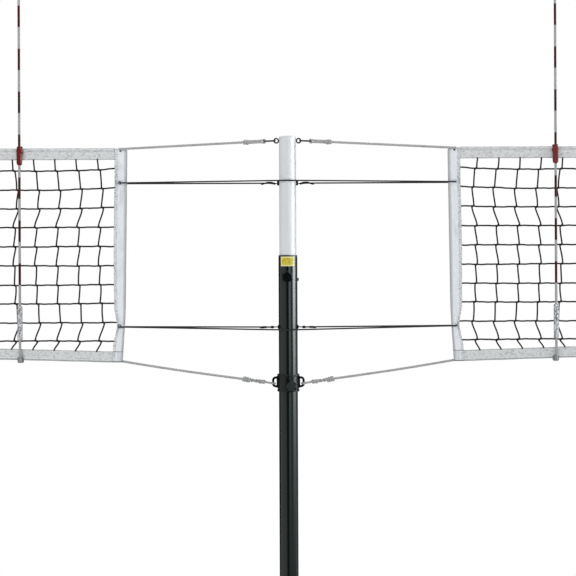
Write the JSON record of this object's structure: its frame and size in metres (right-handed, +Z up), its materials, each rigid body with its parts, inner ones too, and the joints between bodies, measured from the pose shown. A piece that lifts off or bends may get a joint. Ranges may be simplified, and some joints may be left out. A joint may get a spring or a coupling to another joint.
{
  "type": "volleyball net on post",
  "caption": "Telescoping volleyball centre post in a floor sleeve insert, with a net end tied to each side and striped antennas.",
  "frame": {"origin": "on the post's axis at floor level, where the post enters its ground sleeve", "axes": "+Z up, the nets lie along X, the clamp knobs and antennas face -Y"},
  "size_m": [3.1102, 0.1597, 3.482],
  "materials": {
    "black_tube": "satin black powder coat",
    "satin_tube": "satin anodised, drawn along its length",
    "black_plastic": "moulded, fine grain",
    "nylon": "moulded black nylon",
    "label_yellow": "bare yellow plate with a worn edge",
    "steel": "zinc plated",
    "spring_steel": "bright wire",
    "sling_cord": "dark braided cord",
    "rope": "grey braided rope",
    "net_twine": "black knotted twine",
    "tape_white": "white coated tape, woven",
    "band_vinyl": "white padded vinyl, creased",
    "rod_wood": "turned dowel",
    "grommet_metal": "nickel plated",
    "tension_cord": "dark thin braided cord",
    "hook_black": "black coated steel",
    "saddle_black": "black moulding",
    "antenna_white": "glass fibre rod, red and white stripes",
    "antenna_red": "red moulded cap",
    "sleeve_plastic": "pale blue grey tube",
    "clip_plastic": "pale grey moulding",
    "clamp_red": "dark red moulding",
    "collar_black": "black moulding, fine grain",
    "liner_rubber": "soft sleeve",
    "ring_black": "black coated wire"
  },
  "bodies": {
    "post": {"lower_tube": "black_tube", "foot_plug": "black_plastic", "guide_bush": "nylon", "label_plate": "label_yellow", "mast_boss": "black_tube", "pin_housing": "steel", "pin_spring": "spring_steel"},
    "mast_screw": {"mast_stud": "steel", "mast_stud_tip": "nylon"},
    "mast_knob": {"mast_knob": "black_plastic"},
    "pull_pin": {"pull_pin": "steel", "pull_pin_knob": "black_plastic"},
    "clamp_jaw_left": {"clamp_jaw_left": "clamp_red"},
    "clamp_jaw_right": {"clamp_jaw_right": "clamp_red"},
    "net_collar": {"collar_body": "collar_black", "collar_liner": "liner_rubber", "d_ring_left": "ring_black", "d_ring_right": "ring_black"},
    "collar_screw": {"collar_stud": "steel"},
    "collar_knob": {"collar_knob": "black_plastic"},
    "mast": {"upper_tube": "satin_tube", "slide_bush": "nylon", "top_cap": "satin_tube", "eye_bolt_left": "steel", "eye_bolt_right": "steel", "eye_bolt_nuts": "steel", "top_sling_left": "sling_cord", "top_sling_right": "sling_cord", "top_knot_left": "rope", "top_knot_right": "rope", "top_rope_left": "rope", "top_rope_right": "rope", "net_left": "net_twine", "net_right": "net_twine", "top_tape_left": "tape_white", "top_tape_right": "tape_white", "bottom_tape_left": "tape_white", "bottom_tape_right": "tape_white", "side_band_left": "band_vinyl", "side_band_right": "band_vinyl", "far_band_left": "band_vinyl", "far_band_right": "band_vinyl", "band_rods": "rod_wood", "band_grommets": "grommet_metal", "upper_cord": "tension_cord", "lower_cord": "tension_cord", "cord_hooks": "hook_black", "upper_saddle": "saddle_black", "lower_saddle": "saddle_black", "antenna_left": "antenna_white", "antenna_right": "antenna_white", "antenna_tips": "antenna_red", "antenna_sleeves": "sleeve_plastic", "antenna_hooks": "clip_plastic", "antenna_clamp_left": "clamp_red", "antenna_clamp_right": "clamp_red", "bottom_rope_left": "rope", "bottom_rope_right": "rope", "bottom_knots": "rope", "far_eyes": "rope"}
  },
  "joints": [
    {"name": "mast_slide", "type": "slide", "parent": "post", "child": "mast", "axis": [0, 0, 1], "range_m": [-0.3, 0.1]},
    {"name": "collar_slide", "type": "slide", "parent": "post", "child": "net_collar", "axis": [0, 0, 1], "range_m": [-0.3, 0.1]},
    {"name": "mast_screw_slide", "type": "slide", "parent": "post", "child": "mast_screw", "axis": [-0.0436, -0.999, 0], "range_m": [0, 0.0035]},
    {"name": "mast_knob_turn", "type": "hinge", "parent": "mast_screw", "child": "mast_knob", "pos_m": [0, 0, 1.823], "axis": [-0.0436, -0.999, 0], "range_deg": [0, 720]},
    {"name": "collar_screw_slide", "type": "slide", "parent": "net_collar", "child": "collar_screw", "axis": [0.1219, -0.9925, 0], "range_m": [0, 0.0035]},
    {"name": "collar_knob_turn", "type": "hinge", "parent": "collar_screw", "child": "collar_knob", "pos_m": [0, 0, 1.3156], "axis": [0.1219, -0.9925, 0], "range_deg": [0, 720]},
    {"name": "pull_pin_slide", "type": "slide", "parent": "post", "child": "pull_pin", "axis": [0.6157, 0.788, 0], "range_m": [0, 0.008], "stiffness_N_per_m": 700, "springref_m": -0.006, "deforming": ["pin_spring"]},
    {"name": "clamp_jaw_left_turn", "type": "hinge", "parent": "mast", "child": "clamp_jaw_left", "pos_m": [-1.259, 0.002, 2.4382], "axis": [1, 0, 0], "range_deg": [0, 40], "stiffness_Nm_per_rad": 0.3, "springref_deg": -17.19},
    {"name": "clamp_jaw_right_turn", "type": "hinge", "parent": "mast", "child": "clamp_jaw_right", "pos_m": [1.259, 0.002, 2.4382], "axis": [1, 0, 0], "range_deg": [0, 40], "stiffness_Nm_per_rad": 0.3, "springref_deg": -17.19}
  ],
  "couplings": [
    {"joint": "collar_slide", "follows": "mast_slide", "ratio": 1},
    {"joint": "mast_screw_slide", "follows": "mast_knob_turn", "m_per_rad": 0.00027852},
    {"joint": "collar_screw_slide", "follows": "collar_knob_turn", "m_per_rad": 0.00027852}
  ]
}
